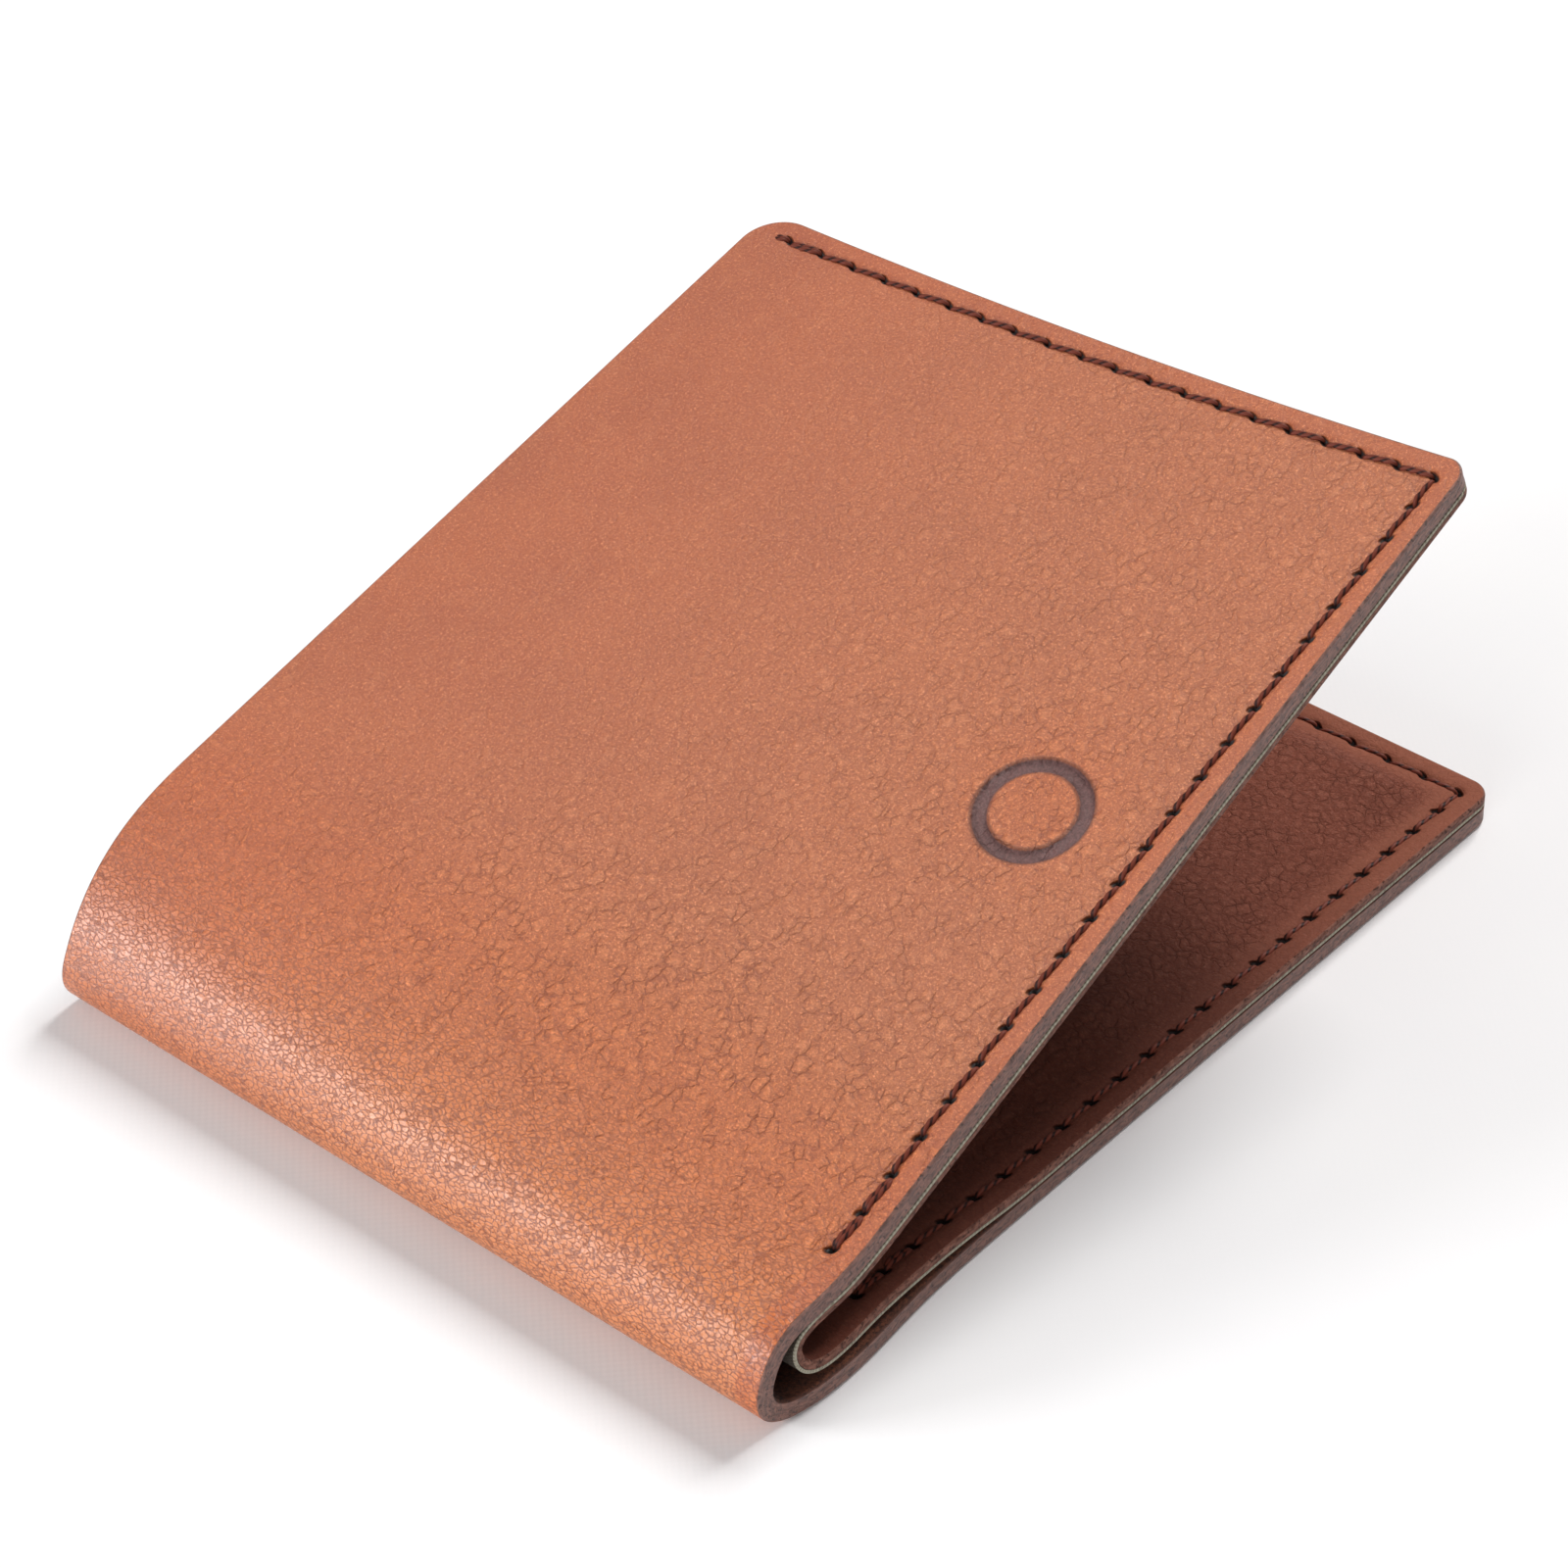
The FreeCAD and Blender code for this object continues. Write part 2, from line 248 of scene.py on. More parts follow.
def noise_over(s, y, scale, seed, octaves):
    """value_noise at grids of s and y."""
    points = np.stack([np.ravel(s), np.ravel(y)], 1)
    return value_noise(points, scale, seed, octaves).reshape(np.shape(s))


def layer(name, sheet, seam, side, u, y, outer, inner, coarse, materials, radius=CORNER, top_radius=None,
          window=None, levels=5, fray=0.03, facts=None):
    """A closed solid between two depths of a sheet. u runs from the seam to the free edge, side is
    1 on the front cover and -1 on the rear. outer and inner give w from (s, y, distance to the cut).
    coarse names the face that gets the wide grid, if any. window is (u0, u1, y0), open at the top edge.
    The edge is cut into levels, roughened by fray, and its two corners have radius and top_radius.
    facts(rest) gives the mesh attributes that the materials read."""
    nu, ny = len(u), len(y)
    gu, gy = np.meshgrid(u, y, indexing="ij")
    d = np.minimum(np.minimum(u[-1] - gu, gy - y[0]), y[-1] - gy)
    keep = np.ones((nu - 1, ny - 1), bool)
    if window:
        u0, u1, y0 = window
        away = np.hypot(np.maximum(np.maximum(u0 - gu, gu - u1), 0), np.maximum(y0 - gy, 0))
        d = np.minimum(d, away)
        mu, my = (u[1:] + u[:-1]) / 2, (y[1:] + y[:-1]) / 2
        keep = ~np.outer((mu > u0) & (mu < u1), my > y0)
    wu, wy = gu.copy(), gy.copy()
    for sign, edge, r in ((1, y[0], radius), (-1, y[-1], top_radius or radius)):
        a = (gu - (u[-1] - r)) / r
        b = (r - sign * (gy - edge)) / r
        inside = (a > 0) & (b > 0)
        far = np.where(inside, np.maximum(a, b), 1)
        angle = np.where(a >= b, math.pi / 4 * b / far, math.pi / 2 - math.pi / 4 * a / far)
        wu = np.where(inside, u[-1] - r + r * far * np.cos(angle), wu)
        wy = np.where(inside, edge + sign * r * (1 - far * np.sin(angle)), wy)
    s = seam + side * wu
    w_out, w_in = outer(s, wy, d), inner(s, wy, d)

    faces, kinds = [], []

    def index(i, j, face):
        return (i * ny + j) + face * nu * ny

    def blocks(face, k):
        cut_u = sorted(set(range(0, nu - 1, k)) | {nu - 1})
        cut_y = sorted(set(range(0, ny - 1, k)) | {ny - 1})
        if window:
            edges_u = {int(np.argmin(abs(u - window[0]))), int(np.argmin(abs(u - window[1])))}
            edges_y = {int(np.argmin(abs(y - window[2])))}
            cut_u, cut_y = sorted(set(cut_u) | edges_u), sorted(set(cut_y) | edges_y)
        for p in range(len(cut_u) - 1):
            i0, i1 = cut_u[p], cut_u[p + 1]
            for q in range(len(cut_y) - 1):
                j0, j1 = cut_y[q], cut_y[q + 1]
                if not keep[i0, j0]:
                    continue
                low = range(i0, i1) if j0 == 0 or not keep[i0, j0 - 1] else (i0,)
                right = range(j0, j1) if i1 == nu - 1 or not keep[i1, j0] else (j0,)
                top = range(i1, i0, -1) if j1 == ny - 1 or not keep[i0, j1] else (i1,)
                left = range(j1, j0, -1) if i0 == 0 or not keep[i0 - 1, j0] else (j1,)
                loop = ([index(i, j0, face) for i in low] + [index(i1, j, face) for j in right]
                        + [index(i, j1, face) for i in top] + [index(i0, j, face) for j in left])
                faces.append(loop if (face == 0) == (side > 0) else loop[::-1])
                kinds.append(face)

    blocks(0, 4 if coarse == "outer" else 1)
    blocks(1, 4 if coarse == "inner" else 1)

    # the cut edge all round, from the outer to the inner face
    padded = np.zeros((nu + 1, ny + 1), bool)
    padded[1:-1, 1:-1] = keep
    rim = []
    for i, j in zip(*np.nonzero(keep)):
        if not padded[i + 1, j]:
            rim.append(((i, j), (i + 1, j)))
        if not padded[i + 2, j + 1]:
            rim.append(((i + 1, j), (i + 1, j + 1)))
        if not padded[i + 1, j + 2]:
            rim.append(((i + 1, j + 1), (i, j + 1)))
        if not padded[i, j + 1]:
            rim.append(((i, j + 1), (i, j)))
    inward = {}
    for p, q in rim:
        du, dy = wu[q] - wu[p], wy[q] - wy[p]
        size = math.hypot(du, dy) or 1.0
        for v in (p, q):
            old = inward.get(v, (0.0, 0.0))
            inward[v] = (old[0] - dy / size, old[1] + du / size)
    order = {v: n for n, v in enumerate(inward)}
    ring_at = np.array(list(inward))
    push = np.array(list(inward.values()))
    push /= np.maximum(np.linalg.norm(push, axis=1), 1e-9)[:, None]
    ring_u, ring_y = wu[ring_at[:, 0], ring_at[:, 1]], wy[ring_at[:, 0], ring_at[:, 1]]
    free = smooth((ring_u - 0.5) / 1.0)
    w0, w1 = w_out[ring_at[:, 0], ring_at[:, 1]], w_in[ring_at[:, 0], ring_at[:, 1]]
    base = 2 * nu * ny
    wall = []
    for k in range(1, levels):
        f = k / levels
        rough = value_noise(np.stack([ring_u + ring_y * 0.7, np.full_like(ring_u, k * 0.9)], 1), 0.9, 3.7 + side)
        move = (0.5 + 0.5 * rough) * fray * free * math.sin(math.pi * f) ** 0.5
        wall.append(np.stack([seam + side * (ring_u + push[:, 0] * move), ring_y + push[:, 1] * move,
                              w0 + (w1 - w0) * f], 1))
    for p, q in rim:
        column = [(index(p[0], p[1], 0), index(q[0], q[1], 0))]
        column += [(base + k * len(order) + order[p], base + k * len(order) + order[q]) for k in range(levels - 1)]
        column.append((index(p[0], p[1], 1), index(q[0], q[1], 1)))
        for (a0, b0), (a1, b1) in zip(column, column[1:]):
            loop = [b0, a0, a1, b1]
            faces.append(loop if side > 0 else loop[::-1])
            kinds.append(0)

    rest = np.concatenate([np.stack([s, wy, w_out], -1).reshape(-1, 3),
                           np.stack([s, wy, w_in], -1).reshape(-1, 3)] + wall)
    edge = np.concatenate([smooth(1.25 - d / 0.3).ravel()] * 2 + [np.ones(len(order))] * (levels - 1))
    used = np.unique(np.concatenate([np.asarray(f) for f in faces]))
    renumber = np.full(len(rest), -1)
    renumber[used] = np.arange(len(used))
    rest, edge = rest[used], edge[used]
    faces = [renumber[f].tolist() for f in faces]
    co = sheet.point(rest[:, 0], rest[:, 1], rest[:, 2]) * MM
    mesh = bpy.data.meshes.new(name)
    mesh.from_pydata(co.tolist(), [], faces)
    mesh.polygons.foreach_set("material_index", np.array(kinds, np.int32))
    mesh.shade_smooth()
    mesh.set_sharp_from_angle(angle=SHARP_ANGLE)
    put(mesh, "rest", rest)
    put(mesh, "edge", edge)
    for key, values in (facts(rest) if facts else {}).items():
        put(mesh, key, values)
    for m in materials:
        mesh.materials.append(m)
    return add(name, mesh)


def put(mesh, name, values):
    """Stores one number or one vector per vertex as a mesh attribute."""
    values = np.asarray(values, np.float32)
    if values.ndim == 2:
        mesh.attributes.new(name, "FLOAT_VECTOR", "POINT").data.foreach_set("vector", values.ravel())
    else:
        mesh.attributes.new(name, "FLOAT", "POINT").data.foreach_set("value", values)


class Row:
    """One cover's stitch row: up the side edge and along the bottom edge from a hole near the corner."""

    def __init__(self, end, side):
        self.side = side
        self.s, self.y = end - side * MARGIN, Y_BOTTOM + MARGIN

    def places(self, s, y):
        """Place along the bottom part and the side part, in stitches, with the distance across in mm."""
        run = self.side * (self.s - s)
        bottom = np.stack([run / PITCH - SHORT_STITCH, y - self.y], -1)
        side = np.stack([(y - self.y) / PITCH, -run], -1)
        return bottom, side

    def holes(self):
        """The (s, y) of every hole along the bottom and up the side, where the last stitch is a half one."""
        bottom = [(self.s, self.y)]
        bottom += [(self.s - self.side * (SHORT_STITCH + k) * PITCH, self.y) for k in range(BOTTOM_HOLES)]
        side = [(self.s, self.y + k * PITCH) for k in range(SIDE_HOLES)]
        side.append((self.s, self.y + (SIDE_HOLES - 0.5) * PITCH))
        return bottom, side

    def relief(self, s, y, depth, hole):
        """How deep the leather is pulled in along the row and at its holes."""
        valley, pits = 0, 0
        for (place, first, last) in ((self.places(s, y)[0], -SHORT_STITCH, BOTTOM_HOLES - 1),
                                     (self.places(s, y)[1], 0, SIDE_HOLES - 1)):
            along, across = place[..., 0], place[..., 1]
            past = np.maximum(np.maximum(first - along, along - last), 0) * PITCH
            valley = np.maximum(valley, np.exp(-(across ** 2 + past ** 2) / 0.6 ** 2))
            nearest = np.clip(np.round(along), 0, last)
            a = (along - nearest) * PITCH
            p = a * math.cos(SLANT) + across * math.sin(SLANT)
            q = -a * math.sin(SLANT) + across * math.cos(SLANT)
            pits = np.maximum(pits, np.exp(-(p / 0.58) ** 2 - (q / 0.36) ** 2))
        return depth * valley + hole * pits


FRONT_ROW, REAR_ROW = Row(FRONT_END, 1), Row(REAR_END, -1)
LINER_FRONT_ROW, LINER_REAR_ROW = Row(LINER_FRONT_END, 1), Row(LINER_REAR_END, -1)


def ring_relief(s, y):
    """The pressed ring and the low lips that it pushes up beside it."""
    r = np.hypot(s - MARK_S, y - MARK_Y)
    pressed = smooth((r - RING_IN) / 0.28) * (1 - smooth((r - RING_OUT + 0.28) / 0.28))
    lip = bump(r, RING_OUT + 0.5, 0.55) + 0.6 * bump(r, RING_IN - 0.5, 0.5)
    return RING_DEPTH * pressed - 0.07 * lip


def border(s, y):
    """1 on the smoother strip between the stitches and the edge."""
    away = np.minimum(np.minimum(FRONT_END - s, s - REAR_END), y - Y_BOTTOM)
    return 1 - smooth((away - MARGIN + 0.5) / 1.2)


def grain_mask(s, y):
    """Where the grain is coarser: along the bottom edge, round the mark, near the bottom end of the fold."""
    low = smooth((42 - y) / 64)
    r = np.hypot(s - MARK_S, y - MARK_Y)
    fold = smooth((44 - abs(s - 14)) / 34)
    mask = 0.1 + low * (0.45 + 0.3 * fold) + 0.4 * fold + 0.2 * np.exp(-(r / 14) ** 2)
    return np.clip(mask, 0, 1) * (1 - 0.45 * border(s, y))


def tint_mask(s, y):
    """Where the colour is deeper and more orange: above the bend, round the mark, along the stitched edges."""
    r = np.hypot(s - MARK_S - 2, y - MARK_Y)
    zone = bump(s, 27, 13) + 0.3 * bump(s, 12, 10) + 0.7 * np.exp(-(r / 9) ** 2) + 0.3 * border(s, y)
    return np.clip(zone, 0, 1)


def swell(s, y, amplitude, seed):
    """Slow unevenness of the leather."""
    return amplitude * noise_over(s, y, 14.0, seed, 2)


def shell_outer_front(s, y, d):
    wrinkles = swell(s, y, 0.05, 2.3) * (0.6 + smooth((FRONT_END - 25 - s) / 40))
    return (round_edge(d, 0.32) + FRONT_ROW.relief(s, y, 0.24, 0.6) + ring_relief(s, y)
            + wrinkles * smooth((d - 3) / 4))


def shell_outer_rear(s, y, d):
    return round_edge(d, 0.32) + REAR_ROW.relief(s, y, 0.45, 0.25)


def shell_inner(s, y, d):
    return SHELL - round_edge(d, 0.22)


def fold_pucker(s, y):
    """The inner leather bunches up inside its tight fold."""
    lumps = noise_over(s * 1.6, y, 3.0, 9.1, 3)
    return bump(s, 0, 2.6) * (0.6 + 0.4 * lumps) + 0.3 * lumps * bump(s, 3, 6)


# ---- the raised panel over the card pockets, and the window that shows them ----
RAISED_U = 12.6                        # from the fold
RAISED_EDGE, RAISED_BOTTOM = 4.2, 9.0  # from the free edge and from the stitched edge
WINDOW_BAND, WINDOW_Y = 5.0, 6.0
PANEL_RISE = 1.0


class Cover:
    """Places on one cover's liner that the CAD pockets fix, in sigma."""

    def __init__(self, name, end, side):
        self.name, self.end, self.side = name, end, side
        length = REAR_EDGE_X - (SPINE_X + FOLD_RADIUS) if side < 0 else FRONT_LENGTH
        self.raised_from = end - side * (length - RAISED_U)
        self.raised_to = end - side * RAISED_EDGE

    def raise_of(self, s, y):
        """0 outside the panel to 1 on it."""
        run = self.side * (s - self.raised_from)
        width = self.side * (self.raised_to - self.raised_from)
        rise = smooth((run + 2.5) / 5.5) * (1 - smooth((run - width + 3.2) / 4.0))
        return rise * smooth((y - Y_BOTTOM - RAISED_BOTTOM + 3.0) / 4.5)


REAR_COVER = Cover("rear", LINER_REAR_END, -1)
FRONT_COVER = Cover("front", LINER_FRONT_END, 1)


def inner_faces(cover, row):
    """The two faces of the inner leather on one cover."""
    def outer(s, y, d):
        return INNER_FROM + PANEL_RISE * cover.raise_of(s, y) + 0 * d

    def inner(s, y, d):
        uneven = swell(s, y, 0.05, 5.9 + cover.side)
        return (INNER_TO + PANEL_RISE * cover.raise_of(s, y) - round_edge(d, 0.38)
                - row.relief(s, y, 0.26, 0.5) + fold_pucker(s, y) * smooth(d / 1.5) + uneven * smooth((d - 3) / 4))
    return outer, inner


# ---- materials ----
def srgb(r, g, b):
    """A colour given as 8-bit sRGB."""
    def channel(c):
        c /= 255
        return c / 12.92 if c <= 0.04045 else ((c + 0.055) / 1.055) ** 2.4
    return (channel(r), channel(g), channel(b), 1.0)


class Graph:
    """A small helper for node materials; every value is a socket or a number."""

    def __init__(self, name, roughness=0.5, **sockets):
        self.mat = bpy.data.materials.new(name)
        self.mat.use_nodes = True
        self.nodes, self.links = self.mat.node_tree.nodes, self.mat.node_tree.links
        self.shader = self.nodes["Principled BSDF"]
        self.shader.inputs["Roughness"].default_value = roughness
        for key, value in sockets.items():
            self.shader.inputs[key.replace("_", " ")].default_value = value

    def set(self, socket, value):
        if isinstance(value, bpy.types.NodeSocket):
            self.links.new(value, socket)
        else:
            socket.default_value = value

    def node(self, kind, inputs=(), **props):
        n = self.nodes.new("ShaderNode" + kind)
        for key, value in props.items():
            setattr(n, key, value)
        for key, value in dict(inputs).items():
            self.set(n.inputs[key], value)
        return n

    def attribute(self, name, output="Fac"):
        return self.node("Attribute", attribute_name=name).outputs[output]

    def math(self, operation, a, b=0.0, clamp=False):
        return self.node("Math", {0: a, 1: b}, operation=operation, use_clamp=clamp).outputs[0]

    def vector(self, operation, a, b):
        return self.node("VectorMath", {0: a, 1: b}, operation=operation).outputs[0]

    def noise(self, where, scale, detail=2.0, roughness=0.5):
        return self.node("TexNoise", {"Vector": where, "Scale": scale, "Detail": detail,
                                      "Roughness": roughness}).outputs["Fac"]

    def cells(self, where, scale):
        """Distance to the nearest border between cells."""
        return self.node("TexVoronoi", {"Vector": where, "Scale": scale},
                         feature="DISTANCE_TO_EDGE").outputs["Distance"]

    def band(self, value, low, high, to_low=0.0, to_high=1.0):
        return self.node("MapRange", {"Value": value, "From Min": low, "From Max": high, "To Min": to_low,
                                      "To Max": to_high}, interpolation_type="SMOOTHSTEP").outputs[0]

    def mix(self, share, a, b, blend="MIX"):
        n = self.nodes.new("ShaderNodeMix")
        n.data_type, n.blend_type = "RGBA", blend
        self.set(n.inputs[0], share)
        self.set(n.inputs[6], a)
        self.set(n.inputs[7], b)
        return n.outputs[2]

    def mix_value(self, share, a, b):
        n = self.nodes.new("ShaderNodeMix")
        n.data_type = "FLOAT"
        self.set(n.inputs[0], share)
        self.set(n.inputs[2], a)
        self.set(n.inputs[3], b)
        return n.outputs[0]

    def bumped(self, height, distance, strength=1.0):
        return self.node("Bump", {"Height": height, "Distance": distance, "Strength": strength}).outputs[0]

    def finish(self, colour, roughness=None, normal=None):
        self.set(self.shader.inputs["Base Color"], colour)
        if roughness is not None:
            self.set(self.shader.inputs["Roughness"], roughness)
        if normal is not None:
            self.set(self.shader.inputs["Normal"], normal)
        return self.mat


def hole_shade_mask(g):
    """Painted shade in the slanted slits at the stitch holes, from the places stored on the mesh."""
    total = None
    for name, last in (("row_bottom", BOTTOM_HOLES - 1), ("row_side", SIDE_HOLES - 1)):
        place = g.node("SeparateXYZ", {0: g.attribute(name, "Vector")})
        along, across = place.outputs[0], place.outputs[1]
        nearest = g.math("MINIMUM", g.math("MAXIMUM", g.math("ROUND", along), 0.0), float(last))
        a = g.math("MULTIPLY", g.math("SUBTRACT", along, nearest), PITCH)
        c, s = math.cos(SLANT), math.sin(SLANT)
        p = g.math("ADD", g.math("MULTIPLY", a, c), g.math("MULTIPLY", across, s))
        q = g.math("SUBTRACT", g.math("MULTIPLY", across, c), g.math("MULTIPLY", a, s))
        r = g.math("ADD", g.math("POWER", g.math("DIVIDE", p, 0.85), 2.0),
                   g.math("POWER", g.math("DIVIDE", q, 0.42), 2.0))
        mask = g.band(r, 0.35, 1.2, 1.0, 0.0)
        total = mask if total is None else g.math("MAXIMUM", total, mask)
    return total


EDGE_ROUGHNESS = 0.5


def edge_parts(g, where):
    """Burnished cut edge: colour and height, with a dark line painted as the shade in the narrow gap where the shell
    meets the cloth.
    """
    along = g.vector("MULTIPLY", where, (0.5, 0.5, 1.6))
    fibre = g.noise(along, 1.6, 5.0, 0.65)
    pits = g.band(g.noise(where, 2.6, 3.0, 0.6), 0.36, 0.44, 1.0, 0.0)
    slow = g.noise(where, 0.25, 2.0)
    colour = g.mix(g.band(fibre, 0.3, 0.7), srgb(74, 43, 36), srgb(152, 104, 89))
    colour = g.mix(g.math("MULTIPLY", slow, 0.35), colour, srgb(124, 76, 58))
    colour = g.mix(g.math("MULTIPLY", pits, 0.75), colour, srgb(48, 24, 20))
    depth = g.node("SeparateXYZ", {0: where}).outputs[2]
    ragged = g.math("ADD", depth, g.math("MULTIPLY", fibre, 0.3))
    # painted shade: a dark line where the shell meets the cloth, for the shade in the gap between them
    seam = g.math("MULTIPLY", g.band(ragged, SHELL - 0.12, SHELL + 0.05),
                  g.band(depth, SHELL + 0.1, SHELL + 0.2, 1.0, 0.0))
    colour = g.mix(g.math("MULTIPLY", seam, 0.7), colour, srgb(40, 22, 20))
    height = g.math("SUBTRACT", fibre, g.math("MULTIPLY", pits, 0.6))
    return colour, height


def leather(name, dark, base, light, coarse=0.0, mark=False, wall=False):
    """Grain-side leather: tiny domes with dark gaps everywhere, pebbles and creases where it is coarse.
    The outer leather has coarse 0. mark adds the ring's ink, and a wall has no stitch holes and one even grain."""
    outside = not coarse
    g = Graph(name, Specular_IOR_Level=0.85 if outside else 0.16)
    where = g.attribute("rest", "Vector")
    mask = g.attribute("grain") if not wall else coarse
    warp = g.node("TexNoise", {"Vector": where, "Scale": 0.9, "Detail": 4.0, "Roughness": 0.6}).outputs["Color"]
    warp = g.vector("SUBTRACT", warp, (0.5, 0.5, 0.5))
    bent = g.vector("ADD", where, g.vector("MULTIPLY", warp, (1.3, 1.3, 0)))
    shaken = g.vector("ADD", where, g.vector("MULTIPLY", warp, (0.6, 0.6, 0)))
    bend = g.attribute("bend") if outside else 0.0
    fine = g.noise(g.vector("MULTIPLY", shaken, (1.25, 0.8, 1.0)), 2.6, 5.0, 0.85)
    flecks = g.noise(g.vector("ADD", shaken, (31.0, 17.0, 5.0)), 3.4, 5.0, 0.85)
    slow = g.noise(where, 0.06, 3.0, 0.55)
    patch = g.noise(where, 0.4, 3.0, 0.6)
    tiny = g.cells(g.vector("MULTIPLY", shaken, (1.3, 0.75, 1.0)), 1.8)
    big = g.cells(bent, 0.75)
    broken = g.band(g.noise(where, 0.4, 2.0), 0.42, 0.6)
    pebbled = g.math("MULTIPLY", mask, g.math("SUBTRACT", 1.0, g.math("MULTIPLY", bend, 0.85)))
    crease = g.math("MULTIPLY", g.band(big, 0.0, 0.08, 1.0, 0.0), g.math("MULTIPLY", broken, pebbled))
    gaps = g.math("MULTIPLY", g.band(tiny, 0.02, 0.19, 1.0, 0.0), g.band(fine, 0.42, 0.6, 1.0, 0.45))
    power = g.mix_value(mask, 0.45, 1.0)
    colour = g.mix(g.band(slow, 0.35, 0.7, 0.0, 0.3), base, dark)
    colour = g.mix(g.band(patch, 0.45, 0.75, 0.0, 0.16), colour, light)
    strong = g.math("MULTIPLY", power, g.mix_value(bend, 1.0, 0.5) if outside else 0.4)
    weak = g.math("MULTIPLY", strong, g.mix_value(mask, 0.9, 0.55))
    pale_and_glint = tuple(min(1.0, 1.3 * c + 0.04) for c in light[:3]) + (1.0,)
    if outside:                      # coarse leather is stretched, and paler with it, most of all on the bend, where the paler colour is also a painted highlight
        colour = g.mix(g.math("MULTIPLY", mask, 0.42), colour, srgb(226, 144, 89))
        colour = g.mix(g.math("MULTIPLY", g.math("MULTIPLY", mask, bend), 0.24), colour, srgb(243, 178, 124))
    colour = g.mix(g.math("MULTIPLY", g.band(fine, 0.5, 0.66), g.math("MULTIPLY", strong, 0.7)), colour, light)
    colour = g.mix(g.math("MULTIPLY", g.band(fine, 0.35, 0.47, 1.0, 0.0), weak), colour, dark)
    # the bright flecks are partly grain speckle and partly painted glints
    colour = g.mix(g.math("MULTIPLY", g.band(flecks, 0.53, 0.62), strong), colour, pale_and_glint)
    colour = g.mix(g.math("MULTIPLY", g.band(flecks, 0.36, 0.45, 1.0, 0.0), weak), colour, dark)
    # painted highlight: the tops of the pebble domes are painted paler
    domes = g.math("MULTIPLY", g.band(big, 0.12, 0.42), pebbled)
    colour = g.mix(g.math("MULTIPLY", domes, 0.35 if outside else 0.15), colour, pale_and_glint)
    deep = tuple(0.6 * c for c in dark[:3]) + (1.0,)
    thin = g.math("MULTIPLY", gaps, g.mix_value(bend, g.math("MULTIPLY", power, 0.2), 1.0) if outside else 0.3)
    colour = g.mix(g.math("MULTIPLY", crease, 0.5 if outside else 0.45), colour, dark)
    colour = g.mix(g.math("MULTIPLY", thin, 0.85), colour, deep)
    if outside:                      # a few pale stretch marks above the bend
        veins = g.math("MULTIPLY", g.band(g.cells(shaken, 0.15), 0.0, 0.015, 1.0, 0.0), g.band(patch, 0.42, 0.6))
        colour = g.mix(g.math("MULTIPLY", veins, g.math("MULTIPLY", g.attribute("tint"), 0.3)), colour, pale_and_glint)
    rough = g.band(fine, 0.3, 0.7, 0.46, 0.56) if outside else g.band(fine, 0.3, 0.7, 0.55, 0.7)
    if outside:
        tinted = g.mix(1.0, colour, (1.04, 0.84, 0.58, 1.0), "MULTIPLY")
        colour = g.mix(g.attribute("tint"), colour, tinted)
        rough = g.mix_value(g.math("MULTIPLY", bend, 0.85), rough, 0.24)
    elif not wall:                   # the strip outside the stitches is paler
        colour = g.mix(g.attribute("pale"), colour, srgb(176, 108, 82))
        # painted shade: the inner leather is darkened deep in the fold, where the covers shade it
        colour = g.mix(g.attribute("depth"), colour, srgb(46, 17, 11))
    height = g.math("ADD", g.math("MULTIPLY", fine, 0.6), g.math("MULTIPLY", flecks, 0.5))
    height = g.math("SUBTRACT", height, g.math("MULTIPLY", thin, 0.4))
    height = g.math("MULTIPLY", height, g.mix_value(mask, 0.5, 1.0))
    if outside:                      # the stretched bend keeps smooth, shining tops between its fine lines
        height = g.math("MULTIPLY", height, g.mix_value(bend, 1.0, 0.14))
    height = g.math("ADD", height, g.math("MULTIPLY", g.band(big, 0.0, 0.45), g.math("MULTIPLY", pebbled, 0.8)))
    height = g.math("SUBTRACT", height, g.math("MULTIPLY", crease, 0.6))
    if mark:
        ring = g.attribute("mark")
        pressed = g.math("MULTIPLY", g.band(ring, RING_IN + 0.02, RING_IN + 0.22),
                         g.band(ring, RING_OUT - 0.2, RING_OUT, 1.0, 0.0))
        ink = g.mix(g.band(flecks, 0.4, 0.6), srgb(88, 50, 48), srgb(124, 80, 76))
        colour = g.mix(pressed, colour, ink)
        # painted shade along the pressed walls of the ring
        rim = g.math("ADD", g.band(g.math("ABSOLUTE", g.math("SUBTRACT", ring, RING_OUT)), 0.0, 0.35, 1.0, 0.0),
                     g.band(g.math("ABSOLUTE", g.math("SUBTRACT", ring, RING_IN)), 0.0, 0.3, 1.0, 0.0), True)
        colour = g.mix(g.math("MULTIPLY", rim, 0.5), colour, srgb(70, 24, 14))
    if not wall:
        holes = hole_shade_mask(g)
        # painted shade: the stitch holes are painted near black
        colour = g.mix(holes, colour, srgb(20, 7, 6))
        height = g.math("SUBTRACT", height, g.math("MULTIPLY", holes, 1.5))
    edge_colour, edge_height = edge_parts(g, where)
    edge = g.band(g.attribute("edge"), 0.35, 0.75)
    colour = g.mix(edge, colour, edge_colour)
    rough = g.mix_value(edge, rough, EDGE_ROUGHNESS)
    height = g.mix_value(edge, height, g.math("MULTIPLY", edge_height, 0.9))
    return g.finish(colour, rough, g.bumped(height, 0.0003 if outside else 0.00022, 1.0))


def suede(name, dark, light):
    """The raw back of the leather."""
    g = Graph(name, roughness=0.85, Sheen_Weight=0.15, Specular_IOR_Level=0.25)
    where = g.attribute("rest", "Vector")
    nap = g.noise(where, 3.0, 4.0, 0.7)
    patches = g.noise(where, 0.3, 3.0)
    colour = g.mix(g.band(nap, 0.3, 0.7), dark, light)
    colour = g.mix(g.math("MULTIPLY", patches, 0.4), colour, dark)
    edge_colour, edge_height = edge_parts(g, where)
    edge = g.band(g.attribute("edge"), 0.35, 0.75)
    height = g.mix_value(edge, nap, edge_height)
    return g.finish(g.mix(edge, colour, edge_colour), None, g.bumped(height, 0.00015, 0.7))


